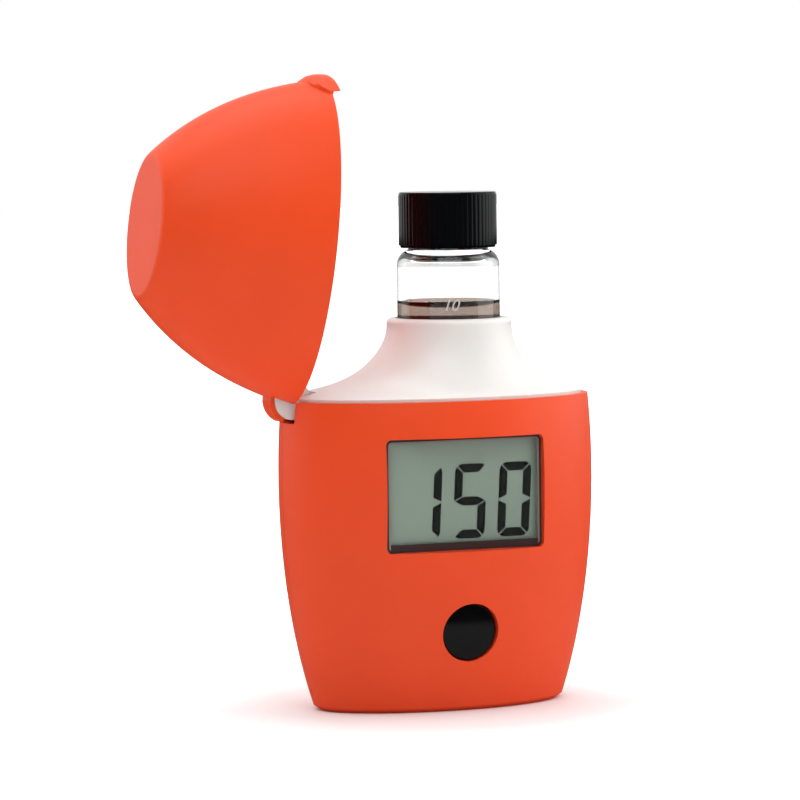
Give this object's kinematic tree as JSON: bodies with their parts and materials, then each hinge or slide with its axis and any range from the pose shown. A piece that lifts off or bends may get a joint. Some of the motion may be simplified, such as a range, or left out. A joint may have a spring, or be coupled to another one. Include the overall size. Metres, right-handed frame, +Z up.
{
  "type": "portable colorimeter",
  "caption": "Pocket colorimeter with a hinged domed lid, a capped glass sample vial in a flared collar, a display window and one push button.",
  "frame": {"origin": "centre of the flat base that the instrument stands on", "axes": "+X to the right along the width, +Y from the display towards the back, +Z up"},
  "size_m": [0.0857, 0.0367, 0.1144],
  "materials": {
    "housing_orange": "satin moulded",
    "lid_orange": "satin moulded",
    "cover_orange": "satin moulded",
    "white_plastic": "satin moulded",
    "cap_black": "gloss",
    "liner_white": "matt foam",
    "glass": "clear polished",
    "sample": "clear pale pink liquid",
    "black_plastic": "matt black",
    "lamp_clear": "clear epoxy",
    "filter_glass": "coloured glass",
    "sensor_dark": "epoxy over silicon",
    "board_green": "solder mask",
    "chip_black": "moulded epoxy",
    "dome_steel": "pressed",
    "seat_grey": "matt",
    "spring_steel": "drawn wire",
    "steel": "zinc plated",
    "window_clear": "clear acrylic",
    "frame_dark": "matt dark",
    "lcd_grey": "reflective grey-green",
    "rubber_grey": "silicone",
    "button_black": "gloss",
    "seal_rubber": "nitrile",
    "contact_metal": "nickel plated",
    "cell_jacket": "plain printed jacket"
  },
  "bodies": {
    "housing": {"front_shell": "housing_orange", "rear_shell": "housing_orange", "case_screws": "steel", "vial_collar": "white_plastic", "vial_well": "black_plastic", "led_lamp": "lamp_clear", "colour_filter": "filter_glass", "photodiode": "sensor_dark", "detector_board": "board_green", "seat_spring": "spring_steel", "display_window": "window_clear", "display_frame": "frame_dark", "display_cell": "lcd_grey", "contact_strips": "rubber_grey", "circuit_board": "board_green", "controller_chip": "chip_black", "switch_dome": "dome_steel", "negative_contact": "contact_metal", "battery_cell": "cell_jacket", "positive_contact": "contact_metal", "battery_cradle": "black_plastic"},
    "lid_body": {"lid": "lid_orange"},
    "seat": {"seat_plate": "seat_grey"},
    "vial": {"vial_glass": "glass", "sample_liquid": "sample"},
    "cap_rider": {"cap_liner": "liner_white"},
    "cap": {"vial_cap": "cap_black"},
    "button": {"button_cap": "button_black"},
    "cover": {"battery_cover": "cover_orange", "cover_seal": "seal_rubber"}
  },
  "joints": [
    {"name": "lid_hinge", "type": "hinge", "parent": "housing", "child": "lid_body", "pos_m": [-0.02817, 0, 0.05598], "axis": [0, 1, 0], "range_deg": [0, 83.27]},
    {"name": "vial_seat", "type": "slide", "parent": "housing", "child": "seat", "axis": [0, 0, 1], "range_m": [-0.0135, 0], "stiffness_N_per_m": 12, "springref_m": 0.02, "deforming": ["seat_spring"]},
    {"name": "vial_lift", "type": "slide", "parent": "seat", "child": "vial", "axis": [0, 0, 1], "range_m": [0, 0.08]},
    {"name": "cap_rise", "type": "slide", "parent": "vial", "child": "cap_rider", "axis": [0, 0, 1], "range_m": [0, 0.003]},
    {"name": "cap_turn", "type": "hinge", "parent": "cap_rider", "child": "cap", "pos_m": [0.00275, 0, 0.0875], "axis": [0, 0, 1], "range_deg": [0, 360]},
    {"name": "button_press", "type": "slide", "parent": "housing", "child": "button", "axis": [0, 0.9962, 0.0872], "range_m": [0, 0.0003], "stiffness_N_per_m": 400, "springref_m": -0.0002},
    {"name": "battery_cover_turn", "type": "hinge", "parent": "housing", "child": "cover", "pos_m": [-0.0158, 0, 0.001], "axis": [0, 0, 1], "range_deg": [0, 90]}
  ],
  "couplings": [
    {"joint": "vial_seat", "follows": "lid_hinge", "m_per_rad": -0.009289},
    {"joint": "cap_turn", "follows": "cap_rise", "rad_per_m": 2094.4}
  ]
}
